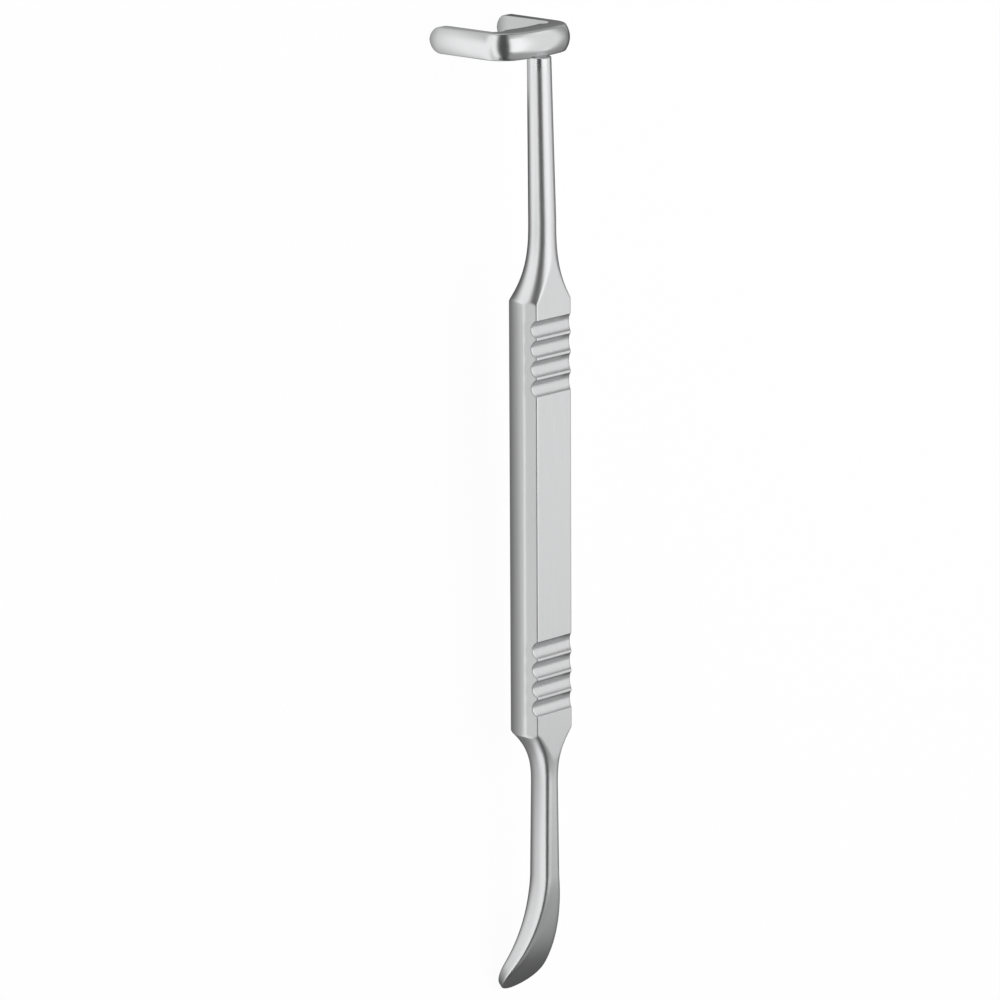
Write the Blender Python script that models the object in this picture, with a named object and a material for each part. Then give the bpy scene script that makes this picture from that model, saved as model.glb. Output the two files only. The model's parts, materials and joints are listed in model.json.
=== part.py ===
"""Double-ended rib elevator of stainless steel, one forged and ground piece.

A C-shaped stripper head stands on a round shank. The shank flares into an eight-sided
handle with finger grooves across both ends of its front face. Past the handle a second
shank flattens into a curved elevator blade.

Units are metres. The piece is modelled along Y with the head at +Y, its width along X and
the front of the handle towards +Z. It is then laid down as it rests by itself, on the two
arm tips of the head and the tip of the blade, with its lowest points at Z = 0.
"""
import math

import bmesh
import bpy
from mathutils import Matrix, Vector

# Handle: an eight-sided bar, ground flat
HANDLE_LENGTH = 0.0985
HANDLE_WIDTH = 0.0147
HANDLE_THICKNESS = 0.0084
WIDE_FACE_WIDTH = 0.0113
SIDE_FACE_HEIGHT = 0.0025
HANDLE_EDGE_RADIUS = 0.0004
REAR_EDGE_RADIUS = 0.0036

# Finger grooves: two groups across the front face
GROOVES_PER_GROUP = 4
GROOVE_PITCH = 0.00446
GROOVE_WIDTH = 0.0039
GROOVE_DEPTH = 0.00108
UPPER_GROUP_SETBACK = 0.0055
LOWER_GROUP_SETBACK = 0.0064

# Necks: each flares from its shank to the handle along the same kind of curve
NECK_CURVE = 2.8
UPPER_NECK_LENGTH = 0.0181
LOWER_NECK_LENGTH = 0.0118
NECK_OVERRUN = 0.002
NECK_OVAL_MARGIN = 0.002

# Upper shank: round, with a slight taper
UPPER_SHANK_LENGTH = 0.0364
SHANK_HEAD_DIAMETER = 0.0054
SHANK_NECK_DIAMETER = 0.0062
SHANK_HEAD_RISE = 0.0001
SHANK_NECK_RISE = 0.0008
SHANK_JOINT_LENGTH = 0.0007
SHANK_JOINT_INSET = 0.0002
SHANK_JOINT_SQUARENESS = 3.5

# Lower shank: deeper than wide, with rounded corners
LOWER_SHANK_LENGTH = 0.0224
LOWER_SHANK_WIDTH = 0.0045
LOWER_SHANK_DEPTH = 0.0058
LOWER_SHANK_SQUARENESS = 4.0
BEND_WIDTH = 0.0054
BEND_DEPTH = 0.0065
BEND_SQUARENESS = 2.6
LOWER_SHANK_RISE = 0.0009

# Blade: bends down from the lower shank while it widens and thins
BLADE_FRONT_RADIUS = 0.0372
BLADE_BEND_DEGREES = 50.7
BLADE_WIDTH = 0.0172
BLADE_TIP_THICKNESS = 0.0021
BLADE_TIP_LENGTH = 0.0083
BLADE_WIDENING = 1.06
BLADE_THINNING = 1.26
BLADE_TIP_SQUARENESS = 2.5
BLADE_TIP_END_SHARE = 0.97
BLADE_TIP_THINNING = 0.6

# Head: a thick strip bent to a C, with a crowned outer face
HEAD_WIDTH = 0.0244
HEAD_ARM_LENGTH = 0.0231
STRIP_HEIGHT = 0.006
WEB_THICKNESS = 0.006
ARM_THICKNESS = 0.0029
STRIP_CROWN = 0.0008
STRIP_EDGE_RADIUS = 0.0003
HEAD_INNER_RADIUS = 0.001
ARM_TIP_THICKNESS = 0.0022
ARM_BEVEL_LENGTH = 0.0038
ARM_TIP_STUB = 0.4
HEAD_FRONT = 0.0015

# Smoothness of the curved surfaces
RING_POINTS = 40
NECK_STEPS = 12
BLADE_STEPS = 18
BEND_STEPS = 7
TIP_STEPS = 6
EDGE_STEPS = 3
CROWN_STEPS = 8
JOINT_STEPS = 4
SHANK_STEPS = 6
GROOVE_SIDES = 40

STEEL_COLOUR = (0.60, 0.60, 0.59, 1.0)
STEEL_ROUGHNESS = 0.32


def clear_scene():
    """Removes the objects that Blender starts with."""
    for thing in list(bpy.data.objects):
        bpy.data.objects.remove(thing, do_unlink=True)


def new_collection(name):
    collection = bpy.data.collections.new(name)
    bpy.context.scene.collection.children.link(collection)
    return collection


def steel_material():
    """Satin stainless steel."""
    material = bpy.data.materials.new("satin_steel")
    material.use_nodes = True
    shader = material.node_tree.nodes["Principled BSDF"]
    shader.inputs["Base Color"].default_value = STEEL_COLOUR
    shader.inputs["Metallic"].default_value = 1.0
    shader.inputs["Roughness"].default_value = STEEL_ROUGHNESS
    return material


def loft(name, rings, collection):
    """A closed solid through rings of equal point count, capped at both ends."""
    shape = bmesh.new()
    rows = [[shape.verts.new(point) for point in ring] for ring in rings]
    count = len(rows[0])
    for row, following in zip(rows, rows[1:]):
        for i in range(count):
            j = (i + 1) % count
            shape.faces.new((row[i], row[j], following[j], following[i]))
    shape.faces.new(rows[0])
    shape.faces.new(rows[-1])
    bmesh.ops.recalc_face_normals(shape, faces=shape.faces)
    mesh = bpy.data.meshes.new(name)
    shape.to_mesh(mesh)
    shape.free()
    thing = bpy.data.objects.new(name, mesh)
    collection.objects.link(thing)
    return thing


def superellipse(half_width, half_depth, squareness):
    """Points of a section: squareness 2 is an ellipse, and more fills the corners."""
    points = []
    for i in range(RING_POINTS):
        angle = 2.0 * math.pi * (i + 0.5) / RING_POINTS
        across = math.cos(angle)
        along = math.sin(angle)
        points.append((
            half_width * math.copysign(abs(across) ** (2.0 / squareness), across),
            half_depth * math.copysign(abs(along) ** (2.0 / squareness), along),
        ))
    return points


def level_ring(y, rise, half_width, half_depth, squareness=2.0):
    """A section square to the Y axis, with its middle raised towards the front."""
    return [Vector((x, y, rise + z)) for x, z in superellipse(half_width, half_depth, squareness)]


def neck_oval():
    """Half width and half depth of the oval that meets the handle's corners."""
    half_depth = 0.5 * HANDLE_THICKNESS + NECK_OVAL_MARGIN
    wide_corner = (0.5 * WIDE_FACE_WIDTH, 0.5 * HANDLE_THICKNESS)
    side_corner = (0.5 * HANDLE_WIDTH, 0.5 * SIDE_FACE_HEIGHT)
    half_width = max(x / math.sqrt(1.0 - (z / half_depth) ** 2) for x, z in (wide_corner, side_corner))
    return half_width, half_depth


def neck_rings(y_shank, y_handle, rise, half_width, half_depth, squareness):
    """Sections of a neck that flares from the shank to past the handle's corners."""
    rings = []
    end_width, end_depth = neck_oval()
    length = abs(y_handle - y_shank)
    reach = 1.0 + NECK_OVERRUN / length
    for step in range(NECK_STEPS + 1):
        part = reach * step / NECK_STEPS
        flare = part ** NECK_CURVE
        settled = min(1.0, flare)
        rings.append(level_ring(
            y_shank + (y_handle - y_shank) * part,
            rise * (1.0 - settled),
            half_width + (end_width - half_width) * flare,
            half_depth + (end_depth - half_depth) * flare,
            squareness + (2.0 - squareness) * settled,
        ))
    return rings


def blade_profile(part):
    """Width and thickness of the blade at a share of its bend."""
    width = BEND_WIDTH + (BLADE_WIDTH - BEND_WIDTH) * part ** BLADE_WIDENING
    return width, BEND_DEPTH - (BEND_DEPTH - BLADE_TIP_THICKNESS) * part ** BLADE_THINNING


def blade_rings(y_start):
    """Sections of the blade round its bend, with a rounded tongue at the tip."""
    front = LOWER_SHANK_RISE + 0.5 * BEND_DEPTH
    bend = math.radians(BLADE_BEND_DEGREES)
    arc_length = BLADE_FRONT_RADIUS * bend
    tip_share = BLADE_TIP_LENGTH / arc_length
    shares = [(1.0 - tip_share) * i / BLADE_STEPS for i in range(1, BLADE_STEPS + 1)]
    for i in range(1, TIP_STEPS + 1):
        quarter_turn = 0.5 * math.pi * BLADE_TIP_END_SHARE * i / TIP_STEPS
        shares.append(1.0 - tip_share * (1.0 - math.sin(quarter_turn)))
    rings = []
    for share in shares:
        width, thickness = blade_profile(share)
        into_tip = max(0.0, share - (1.0 - tip_share)) / tip_share
        roundness = math.sqrt(1.0 - into_tip ** 2)
        width *= roundness
        thickness *= 1.0 - BLADE_TIP_THINNING * (1.0 - roundness)
        angle = bend * share
        outward = Vector((0.0, -math.sin(angle), math.cos(angle)))
        surface = Vector((
            0.0,
            y_start - BLADE_FRONT_RADIUS * math.sin(angle),
            front - BLADE_FRONT_RADIUS * (1.0 - math.cos(angle)),
        ))
        middle = surface - outward * (0.5 * thickness)
        squareness = BEND_SQUARENESS + (BLADE_TIP_SQUARENESS - BEND_SQUARENESS) * share
        section = superellipse(0.5 * width, 0.5 * thickness, squareness)
        rings.append([middle + Vector((x, 0.0, 0.0)) + outward * z for x, z in section])
    return rings


def lower_shank_rings(y_start):
    """Sections of the lower shank, which grow rounder towards the bend."""
    rings = []
    for step in range(1, SHANK_STEPS + 1):
        part = step / SHANK_STEPS
        rings.append(level_ring(
            y_start - LOWER_SHANK_LENGTH * part,
            LOWER_SHANK_RISE,
            0.5 * (LOWER_SHANK_WIDTH + (BEND_WIDTH - LOWER_SHANK_WIDTH) * part),
            0.5 * (LOWER_SHANK_DEPTH + (BEND_DEPTH - LOWER_SHANK_DEPTH) * part),
            LOWER_SHANK_SQUARENESS + (BEND_SQUARENESS - LOWER_SHANK_SQUARENESS) * part,
        ))
    return rings


def joint_rings(y_head):
    """Sections of the shank's end, whose front falls back until it is flush under the web."""
    radius = 0.5 * SHANK_HEAD_DIAMETER
    back = SHANK_HEAD_RISE - radius
    flush = HEAD_FRONT - SHANK_JOINT_INSET
    y_end = y_head + 0.5 * STRIP_HEIGHT
    rings = [level_ring(y_end, 0.5 * (flush + back), radius, 0.5 * (flush - back),
                        SHANK_JOINT_SQUARENESS)]
    for step in range(JOINT_STEPS, -1, -1):
        part = step / JOINT_STEPS
        fall = part * part
        front = SHANK_HEAD_RISE + radius + (flush - SHANK_HEAD_RISE - radius) * fall
        place = y_head - SHANK_JOINT_LENGTH * (1.0 - part)
        squareness = 2.0 + (SHANK_JOINT_SQUARENESS - 2.0) * fall
        rings.append(level_ring(place, 0.5 * (front + back), radius, 0.5 * (front - back), squareness))
    return rings


def blank_loft(collection):
    """The forged blank: shank, round handle, lower shank and blade in one loft."""
    top = 0.5 * HANDLE_LENGTH
    y_neck = top + UPPER_NECK_LENGTH
    shank_base = 0.5 * SHANK_NECK_DIAMETER
    rings = joint_rings(y_neck + UPPER_SHANK_LENGTH)
    rings += neck_rings(y_neck, top, SHANK_NECK_RISE, shank_base, shank_base, 2.0)
    y_low_neck = -top - LOWER_NECK_LENGTH
    lower = neck_rings(y_low_neck, -top, LOWER_SHANK_RISE, 0.5 * LOWER_SHANK_WIDTH,
                       0.5 * LOWER_SHANK_DEPTH, LOWER_SHANK_SQUARENESS)
    rings += reversed(lower)
    rings += lower_shank_rings(y_low_neck)
    rings += blade_rings(y_low_neck - LOWER_SHANK_LENGTH)
    return loft("rib_elevator", rings, collection)


def rounded_corner(before, corner, after, radius, steps):
    """Points of the arc that replaces a corner of an outline."""
    into = (corner - before).normalized()
    out = (after - corner).normalized()
    turn = into.angle(out)
    setback = radius * math.tan(0.5 * turn)
    start = corner - into * setback
    side = 1.0 if into.cross(out) > 0.0 else -1.0
    normal = Vector((-into.y, into.x)) * side
    centre = start + normal * radius
    points = []
    for step in range(steps + 1):
        angle = turn * step / steps
        points.append(centre - normal * (radius * math.cos(angle)) + into * (radius * math.sin(angle)))
    return points


def handle_outline():
    """The eight-sided section of the handle, with its long edges eased, the rear side ones most."""
    half_width = 0.5 * HANDLE_WIDTH
    half_thickness = 0.5 * HANDLE_THICKNESS
    half_wide = 0.5 * WIDE_FACE_WIDTH
    half_side = 0.5 * SIDE_FACE_HEIGHT
    quarter = [Vector((half_width, half_side)), Vector((half_wide, half_thickness))]
    corners = quarter + [Vector((-p.x, p.y)) for p in reversed(quarter)]
    corners += [-p for p in quarter] + [Vector((p.x, -p.y)) for p in reversed(quarter)]
    points = []
    for i, corner in enumerate(corners):
        before = corners[i - 1]
        after = corners[(i + 1) % len(corners)]
        beside = abs(corner.x) > 0.5 * (half_wide + half_width)
        radius = REAR_EDGE_RADIUS if beside and corner.y < 0.0 else HANDLE_EDGE_RADIUS
        points += rounded_corner(before, corner, after, radius, EDGE_STEPS)
    return points


def add_outline(curve, points):
    """Adds a closed straight-sided outline to a flat curve."""
    spline = curve.splines.new("POLY")
    spline.points.add(len(points) - 1)
    for target, point in zip(spline.points, points):
        target.co = (point[0], point[1], 0.0, 1.0)
    spline.use_cyclic_u = True


def mesh_from_curve(thing, collection):
    """Swaps a curve object for a welded mesh object that can cut."""
    bpy.context.view_layer.update()
    evaluated = thing.evaluated_get(bpy.context.evaluated_depsgraph_get())
    mesh = bpy.data.meshes.new_from_object(evaluated)
    shape = bmesh.new()
    shape.from_mesh(mesh)
    bmesh.ops.remove_doubles(shape, verts=shape.verts, dist=0.00001)
    bmesh.ops.recalc_face_normals(shape, faces=shape.faces)
    shape.to_mesh(mesh)
    shape.free()
    result = bpy.data.objects.new(thing.name + "_solid", mesh)
    result.matrix_world = thing.matrix_world.copy()
    collection.objects.link(result)
    bpy.data.objects.remove(thing, do_unlink=True)
    return result


def flats_cutter(collection):
    """A sleeve with an eight-sided hole, which grinds the handle's flats onto the blank."""
    reach = 1.5 * HANDLE_WIDTH
    sleeve = bpy.data.curves.new("flats_sleeve", "CURVE")
    sleeve.dimensions = "2D"
    sleeve.fill_mode = "BOTH"
    add_outline(sleeve, [(-reach, -reach), (reach, -reach), (reach, reach), (-reach, reach)])
    add_outline(sleeve, handle_outline())
    upper_end = 0.5 * HANDLE_LENGTH + UPPER_NECK_LENGTH
    lower_end = -0.5 * HANDLE_LENGTH - LOWER_NECK_LENGTH
    sleeve.extrude = 0.5 * (upper_end - lower_end)
    thing = bpy.data.objects.new("flats_sleeve", sleeve)
    thing.rotation_euler = (math.radians(90.0), 0.0, 0.0)
    thing.location = (0.0, 0.5 * (upper_end + lower_end), 0.0)
    collection.objects.link(thing)
    return mesh_from_curve(thing, collection)


def groove_places():
    """Distances along the handle of every groove's middle."""
    top = 0.5 * HANDLE_LENGTH
    for i in range(GROOVES_PER_GROUP):
        yield top - UPPER_GROUP_SETBACK - i * GROOVE_PITCH
        yield -top + LOWER_GROUP_SETBACK + i * GROOVE_PITCH


def groove_cutters(collection):
    """Round bars that cut the finger grooves across the front face."""
    radius = (0.25 * GROOVE_WIDTH ** 2 + GROOVE_DEPTH ** 2) / (2.0 * GROOVE_DEPTH)
    height = 0.5 * HANDLE_THICKNESS - GROOVE_DEPTH + radius
    shape = bmesh.new()
    across = Matrix.Rotation(math.radians(90.0), 4, "Y")
    bmesh.ops.create_cone(shape, cap_ends=True, segments=GROOVE_SIDES, radius1=radius,
                          radius2=radius, depth=1.5 * HANDLE_WIDTH, matrix=across)
    mesh = bpy.data.meshes.new("groove_cutter")
    shape.to_mesh(mesh)
    shape.free()
    cutters = []
    for place in groove_places():
        cutter = bpy.data.objects.new("groove_cutter", mesh)
        cutter.location = (0.0, place, height)
        collection.objects.link(cutter)
        cutters.append(cutter)
    return cutters


def bevelled_thickness(distance):
    """Thickness of an arm at a distance from its tip, where its inner face is bevelled."""
    share = min(1.0, distance / ARM_BEVEL_LENGTH)
    return ARM_TIP_THICKNESS + (ARM_THICKNESS - ARM_TIP_THICKNESS) * share


def head_path():
    """Stations round the C: place on the outer face, outward direction, thickness, distance to the tip."""
    half = 0.5 * HEAD_WIDTH
    bend_radius = HEAD_INNER_RADIUS + WEB_THICKNESS
    tip_length = 0.5 * STRIP_HEIGHT
    outward = Vector((1.0, 0.0))
    stations = []
    for i in range(1, TIP_STEPS + 1):
        quarter_turn = 0.5 * math.pi * (i + ARM_TIP_STUB) / (TIP_STEPS + ARM_TIP_STUB)
        distance = tip_length * (1.0 - math.cos(quarter_turn))
        thickness = bevelled_thickness(distance)
        stations.append((Vector((half, HEAD_ARM_LENGTH - distance)), outward, thickness, distance))
    place = Vector((half, HEAD_ARM_LENGTH - ARM_BEVEL_LENGTH))
    stations.append((place, outward, ARM_THICKNESS, ARM_BEVEL_LENGTH))
    centre = Vector((half - bend_radius, bend_radius))
    for i in range(BEND_STEPS + 1):
        turned = i / BEND_STEPS
        angle = 0.5 * math.pi * turned
        outward = Vector((math.cos(angle), -math.sin(angle)))
        thickness = ARM_THICKNESS + (WEB_THICKNESS - ARM_THICKNESS) * turned
        stations.append((centre + outward * bend_radius, outward, thickness, ARM_BEVEL_LENGTH))
    for place, outward, thickness, distance in reversed(list(stations)):
        stations.append((Vector((-place.x, place.y)), Vector((-outward.x, outward.y)), thickness, distance))
    return stations


def strip_section(height, thickness):
    """The strip's D-shaped section: crowned outside, flat inside, eased edges."""
    crown = STRIP_CROWN * (height / STRIP_HEIGHT) ** 2
    edge = min(STRIP_EDGE_RADIUS, 0.25 * height, 0.25 * thickness)
    half = 0.5 * height
    points = []
    for i in range(CROWN_STEPS + 1):
        level = -1.0 + 2.0 * i / CROWN_STEPS
        bulge = crown * (1.0 - level ** 2)
        points.append((bulge, level * (half - 0.5 * edge)))
    points.append((-0.5 * edge, half))
    for i in range(EDGE_STEPS + 1):
        angle = 0.5 * math.pi * i / EDGE_STEPS
        points.append((-thickness + edge * (1.0 - math.sin(angle)), half - edge * (1.0 - math.cos(angle))))
    points += [(x, -z) for x, z in reversed(points[CROWN_STEPS + 1:])]
    return points


def head_loft(collection):
    """The C-shaped head, opening downwards, over the end of the upper shank."""
    y_middle = 0.5 * HANDLE_LENGTH + UPPER_NECK_LENGTH + UPPER_SHANK_LENGTH + 0.5 * STRIP_HEIGHT
    tip_length = 0.5 * STRIP_HEIGHT
    rings = []
    for place, outward, thickness, distance in head_path():
        into_tip = max(0.0, 1.0 - distance / tip_length)
        height = STRIP_HEIGHT * math.sqrt(1.0 - into_tip ** 2)
        ring = []
        for out, level in strip_section(height, thickness):
            spot = place + outward * out
            ring.append(Vector((spot.x, y_middle + level, HEAD_FRONT - spot.y)))
        rings.append(ring)
    return loft("head", rings, collection)


def make_helper(thing, parent):
    """Marks a solid as a cutter or a joined shape that follows the piece."""
    thing.hide_render = True
    thing.display_type = "WIRE"
    thing.parent = parent


def add_boolean(thing, helper, operation):
    modifier = thing.modifiers.new(helper.name, "BOOLEAN")
    modifier.operation = operation
    modifier.solver = "EXACT"
    modifier.object = helper
    make_helper(helper, thing)


def add_boolean_group(thing, helpers, group, operation):
    modifier = thing.modifiers.new(group.name, "BOOLEAN")
    modifier.operation = operation
    modifier.solver = "EXACT"
    modifier.operand_type = "COLLECTION"
    modifier.collection = group
    for helper in helpers:
        make_helper(helper, thing)


def finished_points(thing):
    """World positions of the finished surface's points."""
    bpy.context.view_layer.update()
    evaluated = thing.evaluated_get(bpy.context.evaluated_depsgraph_get())
    mesh = evaluated.to_mesh()
    points = [evaluated.matrix_world @ vertex.co for vertex in mesh.vertices]
    evaluated.to_mesh_clear()
    return points


def lay_down(thing):
    """Turns the piece until head and blade touch the floor, and centres its box."""
    points = finished_points(thing)
    tilt = 0.0
    for _ in range(8):
        turn = Matrix.Rotation(tilt, 3, "X")
        turned = [turn @ point for point in points]
        head_low = min((p for p in turned if p.y > 0.0), key=lambda p: p.z)
        blade_low = min((p for p in turned if p.y <= 0.0), key=lambda p: p.z)
        tilt -= math.atan2(head_low.z - blade_low.z, head_low.y - blade_low.y)
    thing.rotation_euler = (tilt, 0.0, 0.0)
    turn = Matrix.Rotation(tilt, 3, "X")
    turned = [turn @ point for point in points]
    lowest = min(p.z for p in turned)
    middle = 0.5 * (min(p.y for p in turned) + max(p.y for p in turned))
    thing.location = (0.0, -middle, -lowest)


def shade(thing):
    """Smooth shading, with the ground edges kept sharp."""
    thing.data.shade_smooth()
    thing.data.set_sharp_from_angle(angle=math.radians(30.0))


def build():
    clear_scene()
    parts = new_collection("rib_elevator_parts")
    helpers = new_collection("cutters")
    grooves = new_collection("groove_cutters")
    elevator = blank_loft(parts)
    elevator.data.materials.append(steel_material())
    shade(elevator)
    add_boolean(elevator, flats_cutter(helpers), "DIFFERENCE")
    add_boolean_group(elevator, groove_cutters(grooves), grooves, "DIFFERENCE")
    add_boolean(elevator, head_loft(helpers), "UNION")
    lay_down(elevator)


build()
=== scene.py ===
# %% [markdown]
# # A rib elevator of satin steel
#
# The object is a surgical hand instrument, forged and ground from one bar of stainless
# steel. A C-shaped head stands on a round shank, the shank flares into an eight-sided
# handle with finger grooves, and past the handle a second shank bends into a wide blade.
#
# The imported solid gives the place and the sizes. Here the same rules are followed again
# with many more points, so that the ground edges, the grooves and the bends catch the
# light as the real ones do.

import json
import math

import bmesh
import bpy
import numpy as np
from mathutils import Matrix, Vector


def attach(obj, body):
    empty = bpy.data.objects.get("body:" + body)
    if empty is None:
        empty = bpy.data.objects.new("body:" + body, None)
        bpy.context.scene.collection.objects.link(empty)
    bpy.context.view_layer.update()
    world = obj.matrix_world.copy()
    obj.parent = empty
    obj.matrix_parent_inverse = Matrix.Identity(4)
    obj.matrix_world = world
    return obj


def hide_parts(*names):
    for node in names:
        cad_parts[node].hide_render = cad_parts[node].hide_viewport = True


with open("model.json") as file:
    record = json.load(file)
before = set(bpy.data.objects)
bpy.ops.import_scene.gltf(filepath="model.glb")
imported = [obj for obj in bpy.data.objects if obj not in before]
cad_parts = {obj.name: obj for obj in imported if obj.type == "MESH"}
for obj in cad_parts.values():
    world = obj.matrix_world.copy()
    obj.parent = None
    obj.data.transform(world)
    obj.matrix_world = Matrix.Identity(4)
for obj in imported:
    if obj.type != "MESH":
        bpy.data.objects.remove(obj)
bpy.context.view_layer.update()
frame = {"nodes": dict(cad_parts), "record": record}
print("packed nodes:", sorted(frame["nodes"]))

# %% [markdown]
# The instrument is easiest to think about while its handle is straight along Y, with the
# front of the handle up. The real one lies a little tipped, on the two arms of its head
# and the tip of its blade. The middle of the handle's front face is known from the packed
# record, with its direction, so the tip and the place are worked out from it.

# %% Place of the instrument as it lies
HANDLE_THICKNESS = 0.0084
front_face = frame["record"]["mounts"][0]
face_middle = Vector(front_face["pos_m"])
face_out = Vector(front_face["axis"])
tilt = math.atan2(-face_out.y, face_out.z)
axis_middle = face_middle - face_out * (0.5 * HANDLE_THICKNESS)
lying = Matrix.Translation(axis_middle) @ Matrix.Rotation(tilt, 4, "X")
print("tipped by", round(math.degrees(tilt), 3), "degrees about", [round(v, 5) for v in axis_middle])

# %% [markdown]
# ## Sizes
#
# These are the sizes of the real piece in metres. The handle, the upper neck and the upper
# shank have those of the solid, but for 0.04 mm in the shank's rise at the head. The lower
# neck and shank, the blade, and the arms, corners and joint of the head were fitted closer
# to the photograph here. The surface stays within 0.3 mm of the solid's on the lower neck
# and shank. It departs by up to 0.8 mm on the head, and by up to 0.9 mm on each side of the
# blade, which is squarer in section and up to 1.9 mm narrower. The photograph shows the
# blade's width at a slant, so it doesn't settle which of the two is right.

# %% Sizes of the handle, necks and shanks
HANDLE_LENGTH = 0.0985
HANDLE_WIDTH = 0.0147
WIDE_FACE_WIDTH = 0.0113
SIDE_FACE_HEIGHT = 0.0025
UPPER_NECK_LENGTH, LOWER_NECK_LENGTH = 0.0181, 0.01247
NECK_CURVE, NECK_OVAL_MARGIN = 2.8, 0.002
UPPER_SHANK_LENGTH, LOWER_SHANK_LENGTH = 0.0364, 0.02166
SHANK_HEAD_DIAMETER, SHANK_NECK_DIAMETER = 0.0054, 0.0062
SHANK_HEAD_RISE, SHANK_NECK_RISE = 0.00006, 0.0008
LOWER_SHANK_WIDTH, LOWER_SHANK_DEPTH = 0.00485, 0.0062
LOWER_SHANK_SQUARENESS, LOWER_SHANK_RISE = 2.6, 0.00089
BEND_WIDTH, BEND_DEPTH, BEND_SQUARENESS = 0.00524, 0.00628, 3.1
HANDLE_TOP = 0.5 * HANDLE_LENGTH
NECK_TOP = HANDLE_TOP + UPPER_NECK_LENGTH
HEAD_FOOT = NECK_TOP + UPPER_SHANK_LENGTH
NECK_FOOT = -HANDLE_TOP - LOWER_NECK_LENGTH
BEND_START = NECK_FOOT - LOWER_SHANK_LENGTH
print("head foot at", round(HEAD_FOOT, 4), "and bend start at", round(BEND_START, 4))

# %% Sizes of the blade and the head
BLADE_FRONT_RADIUS, BLADE_BEND = 0.0374, math.radians(50.35)
BLADE_WIDTH, BLADE_TIP_THICKNESS, BLADE_TIP_LENGTH = 0.0154, 0.0018, 0.00845
BLADE_WIDENING, BLADE_THINNING = 1.32, 1.52
BLADE_TIP_SQUARENESS, BLADE_TIP_THINNING = 8.0, 0.6
HEAD_WIDTH, HEAD_ARM_LENGTH, HEAD_FRONT = 0.0244, 0.02292, 0.0015
STRIP_HEIGHT, WEB_THICKNESS, ARM_THICKNESS = 0.006, 0.006, 0.0029
STRIP_CROWN, STRIP_EDGE, CORNER_RADIUS = 0.0008, 0.0003, 0.0064
ARM_TIP_THICKNESS, ARM_BEVEL_LENGTH = 0.0022, 0.0038
JOINT_LENGTH, JOINT_INSET, JOINT_SQUARENESS = 0.00025, 0.0002, 3.5
print("head is", HEAD_WIDTH, "wide and", HEAD_ARM_LENGTH, "deep")

# %% [markdown]
# ## The blank, as rings
#
# A forged bar with a changing section can be made by moving a box of vertices about, by
# lofting a few sections, or by working out a ring of points at each place along it. The
# rings win here, because every section is a plain rule: an oval, a squarish oval, or the
# handle's eight flats. Each rule says how far the surface is from the axis in a given
# direction. Where two rules meet, the nearer one holds, and a smooth minimum rounds the
# edge between them as grinding does. It takes about a tenth of a millimetre off most edges
# of the handle, and three tenths off the two between a side face and a rear bevel. The
# left one of those is in view in the photograph and the shading shows no crease there, so
# both are taken to be worn softer.

# %% Helpers for sections
EDGE_SOFTNESS = 0.00034
REAR_SOFTNESS = 0.0011
CREASE_SOFTNESS = 0.00016
OUT_OF_REACH = 1.0
TINY = 1e-6


def smooth_min(first, second, softness):
    """The lesser of two distances, with a rounded change from one to the other."""
    near = np.clip(softness - np.abs(first - second), 0.0, None) / softness
    return np.minimum(first, second) - 0.25 * softness * near ** 2


def oval_reach(angles, half_width, half_depth, squareness):
    """Distance from the middle of an oval to its edge in each direction."""
    across = np.abs(np.cos(angles) / half_width) ** squareness
    along = np.abs(np.sin(angles) / half_depth) ** squareness
    return (across + along) ** (-1.0 / squareness)


def flats():
    """Outward direction and distance of the flats. A group shares an edge that is worn soft."""
    corner = np.array([0.5 * WIDE_FACE_WIDTH, 0.5 * HANDLE_THICKNESS])
    bevel_width = 0.5 * (HANDLE_WIDTH - WIDE_FACE_WIDTH)
    slope = np.array([bevel_width, 0.5 * (SIDE_FACE_HEIGHT - HANDLE_THICKNESS)])
    x, z = np.array([-slope[1], slope[0]]) / np.hypot(*slope)
    far = np.dot((x, z), corner)
    wide = [[(0.0, sign, 0.5 * HANDLE_THICKNESS)] for sign in (1.0, -1.0)]
    front = [[(sign * x, z, far)] for sign in (1.0, -1.0)]
    rear = [[(sign, 0.0, 0.5 * HANDLE_WIDTH), (sign * x, -z, far)] for sign in (1.0, -1.0)]
    return wide + front + rear


def flats_reach(angles, rise):
    """Distance from a raised middle to the eight-sided outline, with eased corners."""
    result = np.full(len(angles), OUT_OF_REACH)
    for group in flats():
        nearest = np.full(len(angles), OUT_OF_REACH)
        for x, z, distance in group:
            facing = x * np.cos(angles) + z * np.sin(angles)
            ahead = (distance - z * rise) / np.maximum(facing, TINY)
            reach = np.where(facing > TINY, ahead, OUT_OF_REACH)
            nearest = smooth_min(nearest, reach, REAR_SOFTNESS)
        result = smooth_min(result, nearest, EDGE_SOFTNESS)
    return result


print("flats:", sum(len(group) for group in flats()))

# %% [markdown]
# The directions are not evenly spread. Eight bundles of them are aimed at the corners of
# the handle, so that each ground edge gets its own few rows of faces and stays crisp.

# %% Directions round a ring
EDGE_ROWS = (0.00007, 0.00016, 0.0003, 0.00055)
FACE_ROW = 0.0005


def corners():
    """The eight corners of the handle's section, anticlockwise from the right."""
    side = (0.5 * HANDLE_WIDTH, 0.5 * SIDE_FACE_HEIGHT)
    wide = (0.5 * WIDE_FACE_WIDTH, 0.5 * HANDLE_THICKNESS)
    half = [side, wide, (-wide[0], wide[1]), (-side[0], side[1])]
    return [np.array(p) for p in half + [(-x, -z) for x, z in half]]


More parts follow.
